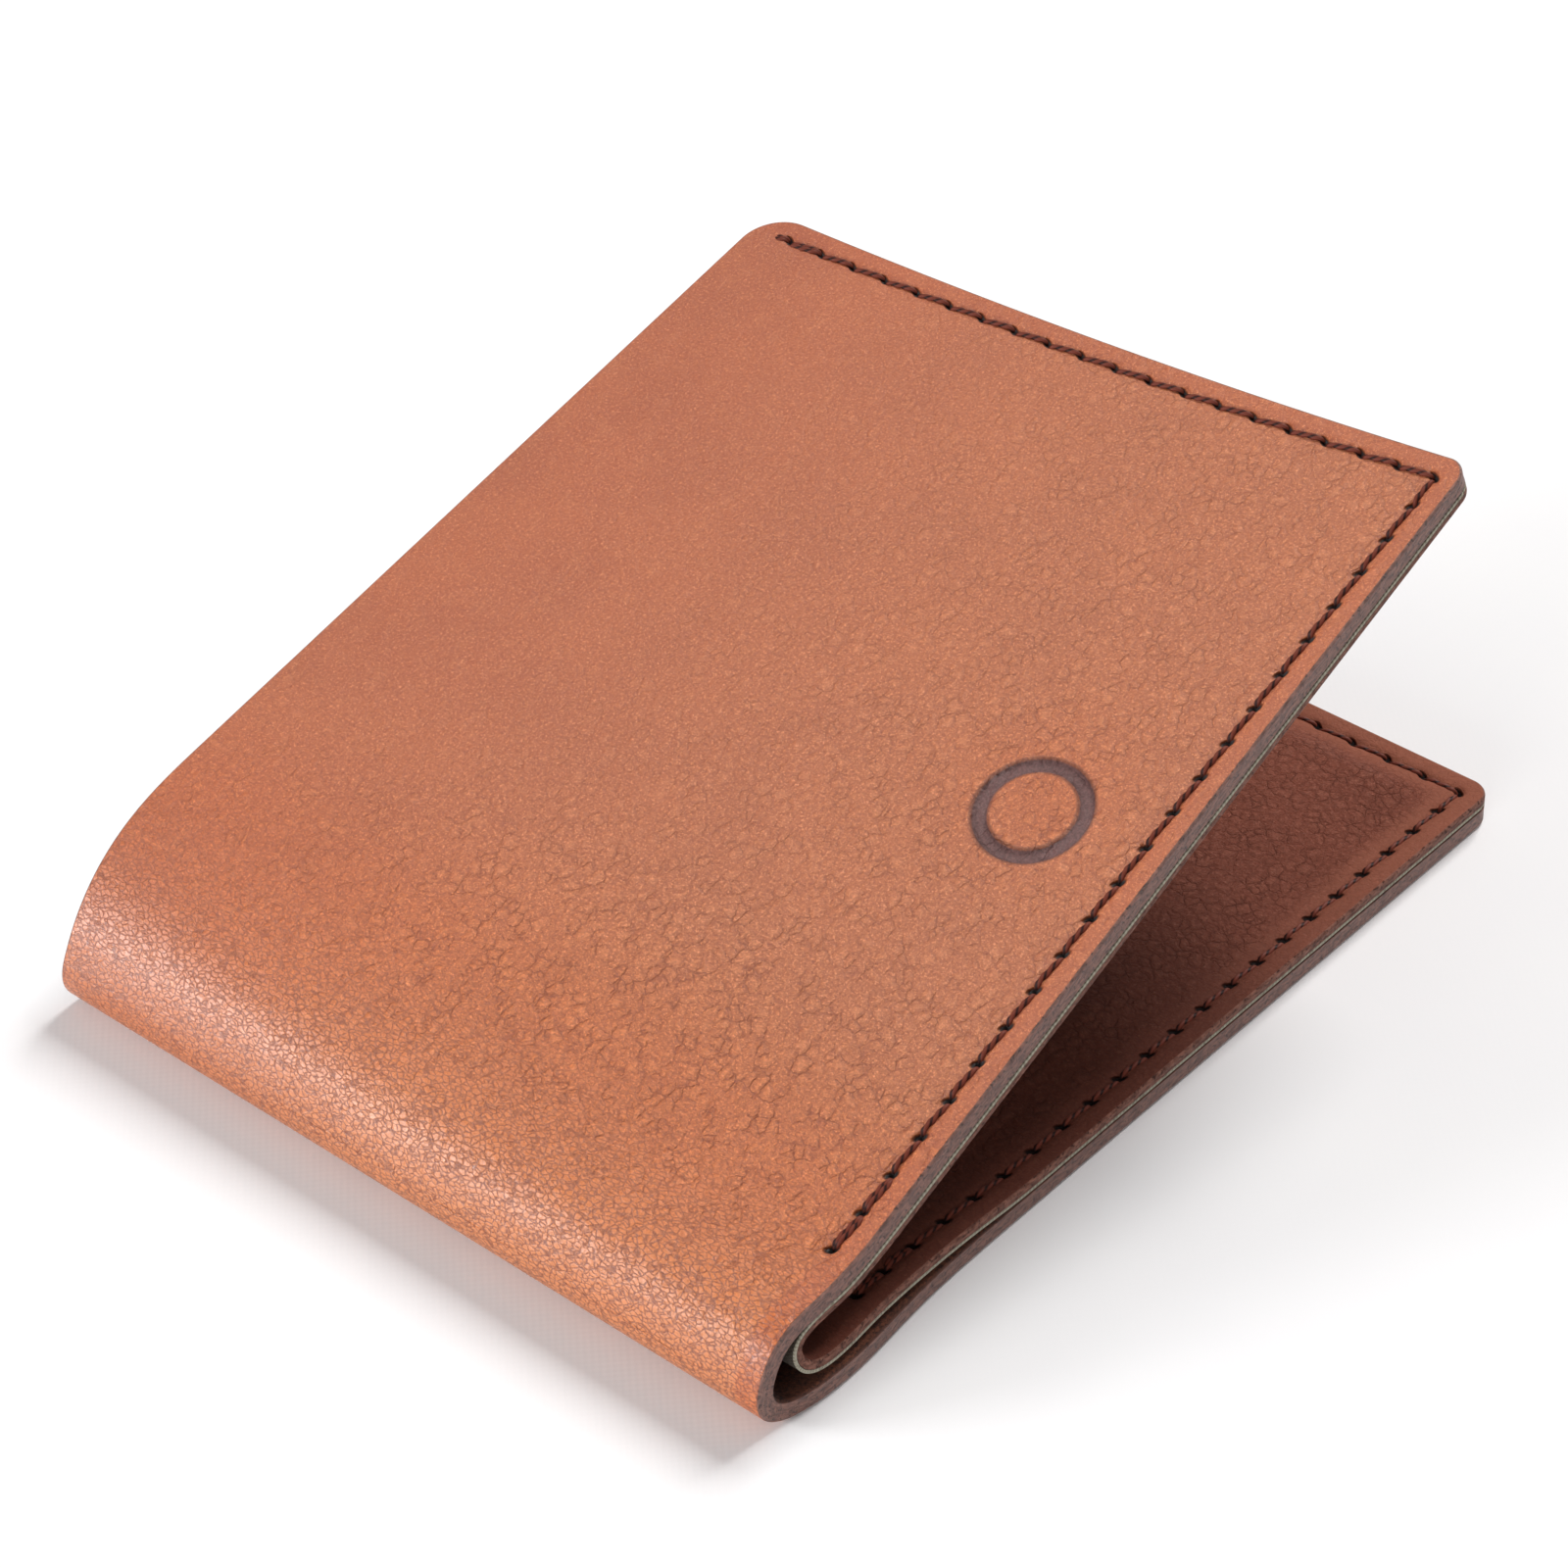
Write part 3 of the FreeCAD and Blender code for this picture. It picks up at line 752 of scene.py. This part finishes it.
def cloth(name, warp, weft):
    """Plain woven lining, with painted shade on its faces towards the fold."""
    g = Graph(name, roughness=0.85, Sheen_Weight=0.03, Specular_IOR_Level=0.15)
    where = g.node("SeparateXYZ", {0: g.attribute("rest", "Vector")})
    wave = [g.math("SINE", g.math("MULTIPLY", where.outputs[k], 2 * math.pi / 0.5)) for k in (0, 1)]
    over = g.math("MULTIPLY", wave[0], wave[1])
    dirt = g.noise(g.attribute("rest", "Vector"), 1.5, 3.0, 0.6)
    colour = g.mix(g.band(over, -0.5, 0.5), warp, weft)
    colour = g.mix(g.math("MULTIPLY", g.band(dirt, 0.5, 0.7), 0.5), colour, srgb(84, 66, 52))
    # painted shade: the lining's faces darken towards the fold, deep in the shade of the covers; its cut edge keeps
    # its colour
    fold = g.band(g.math("ABSOLUTE", where.outputs[0]), 9.0, 26.0, 0.85, 0.0)
    face = g.band(g.attribute("edge"), 0.55, 0.95, 1.0, 0.0)
    colour = g.mix(g.math("MULTIPLY", fold, face), colour, srgb(34, 20, 15))
    return g.finish(colour, None, g.bumped(g.math("ABSOLUTE", over), 0.0001, 0.6))


def waxed_thread(name):
    g = Graph(name, roughness=0.55, Specular_IOR_Level=0.22)
    ply = g.attribute("ply")
    fibre = g.noise(g.attribute("rest", "Vector"), 5.0, 3.0, 0.6)
    # painted shade and highlight: the thread is dark in the grooves between its plies and paler on their crests
    colour = g.mix(g.band(ply, 0.05, 0.6), srgb(38, 12, 9), srgb(112, 52, 38))
    colour = g.mix(g.math("MULTIPLY", g.band(fibre, 0.5, 0.75), 0.3), colour, srgb(120, 66, 54))
    return g.finish(colour, None, g.bumped(fibre, 0.00006, 0.6))


TAN = (srgb(137, 50, 19), srgb(178, 87, 43), srgb(220, 140, 88))
OUTER_LEATHER = leather("outer_leather", *TAN, mark=True)
REAR_LEATHER = leather("rear_leather", *TAN)
BROWN = (srgb(92, 42, 29), srgb(134, 72, 54), srgb(168, 104, 82))
INNER_LEATHER = leather("inner_leather", *BROWN, coarse=1.0)
POCKET_LEATHER = leather("pocket_leather", *BROWN, coarse=0.7, wall=True)
RAW_LEATHER = suede("raw_leather", srgb(46, 20, 13), srgb(124, 70, 46))
LINING_CLOTH = cloth("lining_cloth", srgb(138, 132, 116), srgb(184, 178, 160))
THREAD = waxed_thread("waxed_thread")


# ---- layers ----
def shell_facts(row):
    """Mesh attributes of the outer leather, from rest positions (s, y, w)."""
    def facts(rest):
        s, y = rest[:, 0], rest[:, 1]
        bottom, side = row.places(s, y)
        zero = np.zeros((len(s), 1))
        return {"row_bottom": np.hstack([bottom, zero]), "row_side": np.hstack([side, zero]),
                "grain": grain_mask(s, y), "tint": tint_mask(s, y), "bend": bump(s, 11, 13),
                "mark": np.hypot(s - MARK_S, y - MARK_Y)}
    return facts


def liner_facts(row):
    """The same for the inner leather, which is paler outside its stitches and has painted shade that darkens it deep
    in the fold.
    """
    def facts(rest):
        s, y = rest[:, 0], rest[:, 1]
        bottom, side = row.places(s, y)
        zero = np.zeros((len(s), 1))
        inside = smooth((row.side * (row.s - s) - 0.6) / 2.5) * smooth((y - row.y - 0.6) / 2.5)
        return {"row_bottom": np.hstack([bottom, zero]), "row_side": np.hstack([side, zero]),
                "grain": 0.15 + 0.6 * inside,
                "pale": 0.35 * (1 - inside) * smooth((abs(s) - 55) / 50),
                # painted shade, darker towards the fold
                "depth": 0.45 * smooth((108 - abs(s)) / 50)}
    return facts


def y_lines(step, edges=(), fine=()):
    return lines(Y_BOTTOM, Y_TOP, step, edges=(Y_BOTTOM, Y_TOP) + tuple(edges),
                 fine=((Y_BOTTOM, Y_BOTTOM + 5, 0.24),) + tuple(fine))


front_u, rear_u = FRONT_END - SEAM_S, SEAM_S - REAR_END
mark_u = MARK_S - SEAM_S
front_outer = layer(
    "front_outer_leather", SHELL_SHEET, SEAM_S, 1,
    lines(0, front_u, 0.34, edges=(front_u,),
          fine=((0, 0.6, 0.1), (mark_u - 6.6, mark_u + 6.6, 0.2), (front_u - 5, front_u, 0.24))),
    y_lines(0.5, fine=((MARK_Y - 6.6, MARK_Y + 6.6, 0.22),)),
    shell_outer_front, shell_inner, "inner", (OUTER_LEATHER, RAW_LEATHER), top_radius=TOP_CORNER,
    facts=shell_facts(FRONT_ROW))
rear_outer = layer(
    "rear_outer_leather", SHELL_SHEET, SEAM_S, -1,
    lines(0, rear_u, 0.5, edges=(rear_u,), fine=((0, 0.6, 0.1), (rear_u - 5, rear_u, 0.26))),
    y_lines(0.6), shell_outer_rear, shell_inner, "inner", (REAR_LEATHER, RAW_LEATHER),
    facts=shell_facts(REAR_ROW))

liners = []
for cover, row in ((REAR_COVER, LINER_REAR_ROW), (FRONT_COVER, LINER_FRONT_ROW)):
    side = cover.side
    length = side * cover.end
    corner = TOP_CORNER if side > 0 else CORNER
    cloth_piece = layer(
        cover.name + "_lining_cloth", LINER_SHEET, 0.0, side,
        lines(0, length, 1.2, edges=(length,), fine=((0, 12, 0.4),)),
        lines(Y_BOTTOM, Y_TOP, 1.5, edges=(Y_BOTTOM, Y_TOP)),
        lambda s, y, d: 0 * d, lambda s, y, d: LINING + 0 * d, None, (LINING_CLOTH, LINING_CLOTH),
        top_radius=corner, levels=2, fray=0.06)
    first = side * cover.raised_from + WINDOW_BAND
    last = side * cover.raised_to - WINDOW_BAND
    outer, inner = inner_faces(cover, row)
    leather_piece = layer(
        cover.name + "_inner_leather", LINER_SHEET, 0.0, side,
        lines(0, length, 0.45, edges=(length, first, last), fine=((0, 14, 0.3), (length - 5, length, 0.26))),
        y_lines(0.55, edges=(WINDOW_Y,)), outer, inner, "outer", (INNER_LEATHER, INNER_LEATHER),
        top_radius=corner, window=(first, last, WINDOW_Y), levels=4, facts=liner_facts(row))
    liners.append((cover, cloth_piece, leather_piece))

# ---- card pockets ----
SLOT_STEP, POCKET_DEPTH, POCKET = 12.0, 48.0, 0.4
POCKET_INSET = 3.4
POCKET_FROM, POCKET_GAP = 0.45, 0.06


def pocket(cover, order, name):
    """A thin leather sheet behind the window, with a creased line below its mouth."""
    mouth = WINDOW_Y + order * SLOT_STEP
    w0 = POCKET_FROM + (2 - order) * (POCKET + POCKET_GAP)
    a = cover.side * cover.raised_from + POCKET_INSET
    b = cover.side * cover.raised_to - POCKET_INSET

    def crease(y):
        return 0.09 * bump(y, mouth - 1.8, 0.22)

    return layer(
        name, LINER_SHEET, cover.side * a, cover.side,
        lines(0, b - a, 1.0, edges=(0, b - a)),
        lines(mouth - POCKET_DEPTH, mouth, 1.2, edges=(mouth - POCKET_DEPTH, mouth), fine=((mouth - 14, mouth, 0.2),)),
        lambda s, y, d: w0 + round_edge(d, 0.06),
        lambda s, y, d: w0 + POCKET - round_edge(d, 0.15) - crease(y), None,
        (POCKET_LEATHER, POCKET_LEATHER), radius=1.0, levels=2, fray=0.0)


pockets = []
for cover in (REAR_COVER, FRONT_COVER):
    for order, label in ((1, "middle"), (2, "upper")):
        name = "%s_pocket_leather_%s" % (cover.name, label)
        pockets.append((cover, "%s_card_pocket_%s" % (cover.name, label), pocket(cover, order, name)))

# ---- stitches ----
THREAD_R = 0.32
TWIST = 1.25                           # length of one turn of the two plies
AROUND, ALONG = 12, 27                 # points round the strand and along a stitch
MOUTH_LENGTH = 0.42                    # how fast a strand dives into a hole
STRAND_INSET = 0.12                    # it starts this far inside each hole
TACK_HOLES = 9


def strand(sheet, start, end, w, outward, lean, lift, dive, offset=0.0):
    """One stitch between two holes (s, y): rises from one hole, lies along the face, dives into the next.
    outward is 1 on the outer face and -1 on the inner one. lean slants it across the row, offset moves its middle."""
    start, end = np.array(start), np.array(end)
    along = end - start
    length = np.linalg.norm(along)
    along /= length
    across = np.array([-along[1], along[0]])
    t = np.linspace(0, 1, ALONG)
    drop = dive * (np.exp(-(t * length / MOUTH_LENGTH) ** 2) + np.exp(-((1 - t) * length / MOUTH_LENGTH) ** 2))
    arch = lift * np.sin(math.pi * t) ** 0.7
    shift = lean * (1 - 2 * t) + offset * np.sin(math.pi * t) ** 0.5
    run = STRAND_INSET + t * (length - 2 * STRAND_INSET)
    flat = start + np.outer(run, along) + np.outer(shift, across)
    depth = w + outward * (drop - arch)
    centre = sheet.point(flat[:, 0], flat[:, 1], depth)
    above = sheet.point(flat[:, 0], flat[:, 1], depth - outward)
    tangent = np.gradient(centre, axis=0)
    tangent /= np.linalg.norm(tangent, axis=1)[:, None]
    up = above - centre
    up -= (up * tangent).sum(1)[:, None] * tangent
    up /= np.linalg.norm(up, axis=1)[:, None]
    left = np.cross(tangent, up)
    theta = np.linspace(0, 2 * math.pi, AROUND, endpoint=False)
    phase = 2 * theta[None] - 2 * math.pi * (t[:, None] * length) / TWIST
    radius = THREAD_R * (0.9 + 0.16 * np.cos(phase))
    ring = (centre[:, None] + radius[..., None] * (np.cos(theta)[None, :, None] * left[:, None]
                                                   + np.sin(theta)[None, :, None] * up[:, None]))
    co = np.concatenate([ring.reshape(-1, 3), centre[[0, -1]]])
    ply = np.concatenate([(0.5 + 0.5 * np.cos(phase)).ravel(), [0, 0]])
    pairs = [(j, (j + 1) % AROUND) for j in range(AROUND)]
    faces = [(i * AROUND + j, i * AROUND + k, (i + 1) * AROUND + k, (i + 1) * AROUND + j)
             for i in range(ALONG - 1) for j, k in pairs]
    for j, k in pairs:
        faces.append((ALONG * AROUND, k, j))
        faces.append((ALONG * AROUND + 1, (ALONG - 1) * AROUND + j, (ALONG - 1) * AROUND + k))
    return co, faces, ply


def thread_piece(name, strands):
    """One mesh of all the strands of a row."""
    co, faces, ply = [], [], []
    count = 0
    for c, f, p in strands:
        co.append(c)
        ply.append(p)
        faces += [tuple(v + count for v in face) for face in f]
        count += len(c)
    co = np.concatenate(co)
    mesh = bpy.data.meshes.new(name)
    mesh.from_pydata((co * MM).tolist(), [], faces)
    mesh.shade_smooth()
    put(mesh, "rest", co)
    put(mesh, "ply", np.concatenate(ply))
    mesh.materials.append(THREAD)
    return add(name, mesh)


def row_strands(sheet, row, w, outward, lift, dive):
    """Every stitch of one row on one face."""
    bottom, side = row.holes()
    out = []
    for holes, lean in ((bottom, 0.24 * row.side), (side, -0.24 * row.side)):
        last = len(holes) - 2
        for k, (a, b) in enumerate(zip(holes, holes[1:])):
            turn = lean * (0.3 if k == 0 else 1.0)
            out.append(strand(sheet, a, b, w, outward, turn, lift, dive))
            if k >= last - 1:       # the last two stitches are sewn over again
                out.append(strand(sheet, a, b, w, outward, turn, lift * 1.1, dive, offset=0.36))
    return out


threads = []
for name, cover, args in (
        ("front_outer_stitches", "front", (SHELL_SHEET, FRONT_ROW, 0.22, 1, 0.08, 0.85)),
        ("rear_outer_stitches", "rear", (SHELL_SHEET, REAR_ROW, 0.42, 1, 0.02, 0.6)),
        ("front_inner_stitches", "front", (LINER_SHEET, LINER_FRONT_ROW, INNER_TO - 0.36, -1, 0.06, 0.7)),
        ("rear_inner_stitches", "rear", (LINER_SHEET, LINER_REAR_ROW, INNER_TO - 0.36, -1, 0.06, 0.7))):
    piece = thread_piece(name.replace("stitches", "thread"), row_strands(*args))
    threads.append((piece, cover, name))
for cover in (REAR_COVER, FRONT_COVER):
    s = cover.raised_from + cover.side * POCKET_INSET
    holes = [(s, WINDOW_Y + k * 4.3) for k in range(TACK_HOLES)]
    w = INNER_TO + PANEL_RISE - 0.1
    tack = [strand(LINER_SHEET, a, b, w, -1, 0.15, 0.1, 0.5) for a, b in zip(holes, holes[1:])]
    threads.append((thread_piece(cover.name + "_pocket_thread", tack), cover.name, cover.name + "_pocket_stitches"))


def bend(piece, name, low, high):
    """Bakes a piece's transform into its mesh; low and high are mm past the axis, and are not used."""
    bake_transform(piece)


bend(rear_outer, "rear", -3.2, 2.9)
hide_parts("rear_outer_panel", "spine_outer")
bend(front_outer, "front", -2.3, 3.6)
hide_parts("front_outer_panel")
for cover, cloth_piece, leather_piece in liners:
    low, high = (-5.2, 0.0) if cover.name == "rear" else (0.3, 6.9)
    for piece, node, spine, slot in ((cloth_piece, "_lining", "spine_lining", "lining_fabric"),
                                     (leather_piece, "_inner_panel", "spine_inner", "inner_leather")):
        bend(piece, cover.name, low, high)
        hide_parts(cover.name + node)
        if cover.name == "rear":
            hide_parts(spine)
for cover, node, piece in pockets:
    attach(piece, cover.name)
    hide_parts(node)
for piece, body, node in threads:
    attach(piece, body)
    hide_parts(node)


# ---- floor, light and camera ----
FLOOR_HALF, FLOOR_DROP = 3.0, 0.0001   # metres
FLOOR_WEAVE = 0.0009


def floor():
    """A pale, finely woven sheet."""
    g = Graph("floor", roughness=0.75, Specular_IOR_Level=0.2)
    where = g.node("TexCoord").outputs["Object"]
    part = g.node("SeparateXYZ", {0: where})
    wave = [g.math("SINE", g.math("MULTIPLY", part.outputs[k], 2 * math.pi / FLOOR_WEAVE)) for k in (0, 1)]
    weave = g.math("MULTIPLY", wave[0], wave[1])
    tone = g.mix(g.noise(where, 30.0, 3.0), srgb(246, 246, 249), srgb(252, 252, 253))
    mat = g.finish(tone, None, g.bumped(weave, 0.00001, 0.25))
    mesh = bpy.data.meshes.new("floor")
    mesh.from_pydata([(FLOOR_HALF * x, FLOOR_HALF * y, 0) for x, y in ((-1, -1), (1, -1), (1, 1), (-1, 1))],
                     [], [(0, 1, 2, 3)])
    mesh.materials.append(mat)
    obj = add("floor", mesh)
    obj.location.z = -FLOOR_DROP


def area_light(name, place, size, power, colour=(1, 1, 1), aim=(0, 0, 0.015)):
    data = bpy.data.lights.new(name, "AREA")
    data.shape, data.size, data.size_y = "RECTANGLE", size[0], size[1]
    data.energy, data.color = power, colour
    obj = add(name, data)
    obj.location = place
    obj.rotation_euler = (Vector(aim) - Vector(place)).to_track_quat("-Z", "Y").to_euler()


VIEW_ANGLES = (-48.386, 38.224, -1.423)            # azimuth, elevation and roll of the photo's camera
VIEW_TARGET, VIEW_DISTANCE = (0.00566, 0.00533, 0.010), 0.47902
LENS, SENSOR = 111.16, 36.0


def camera():
    azimuth, elevation, roll = (math.radians(a) for a in VIEW_ANGLES)
    back = Vector((math.sin(azimuth) * math.cos(elevation), -math.cos(azimuth) * math.cos(elevation),
                   math.sin(elevation)))
    right = Vector((0, 0, 1)).cross(back).normalized()
    up = back.cross(right)
    x = right * math.cos(roll) + up * math.sin(roll)
    y = up * math.cos(roll) - right * math.sin(roll)
    data = bpy.data.cameras.new("camera")
    data.sensor_width, data.lens = SENSOR, LENS
    data.clip_start, data.clip_end = 0.01, 20.0
    obj = add("camera", data)
    m = Matrix((x, y, back)).transposed().to_4x4()
    m.translation = Vector(VIEW_TARGET) + back * VIEW_DISTANCE
    obj.matrix_world = m
    bpy.context.scene.camera = obj


floor()
area_light("key", (1.32, 0.06, 1.5), (0.8, 0.8), 35.0, (1.0, 0.985, 0.965))
area_light("spine_glow", (-0.95, 0.8, 0.42), (0.42, 0.36), 10.0)
area_light("low_fill", (-1.2, -0.35, 0.26), (0.7, 0.3), 5.0)
world = bpy.data.worlds.new("world")
world.use_nodes = True
world.node_tree.nodes["Background"].inputs["Color"].default_value = (1.0, 0.99, 0.98, 1.0)
world.node_tree.nodes["Background"].inputs["Strength"].default_value = 0.28
bpy.context.scene.world = world
bpy.context.scene.view_settings.view_transform = "Standard"
camera()
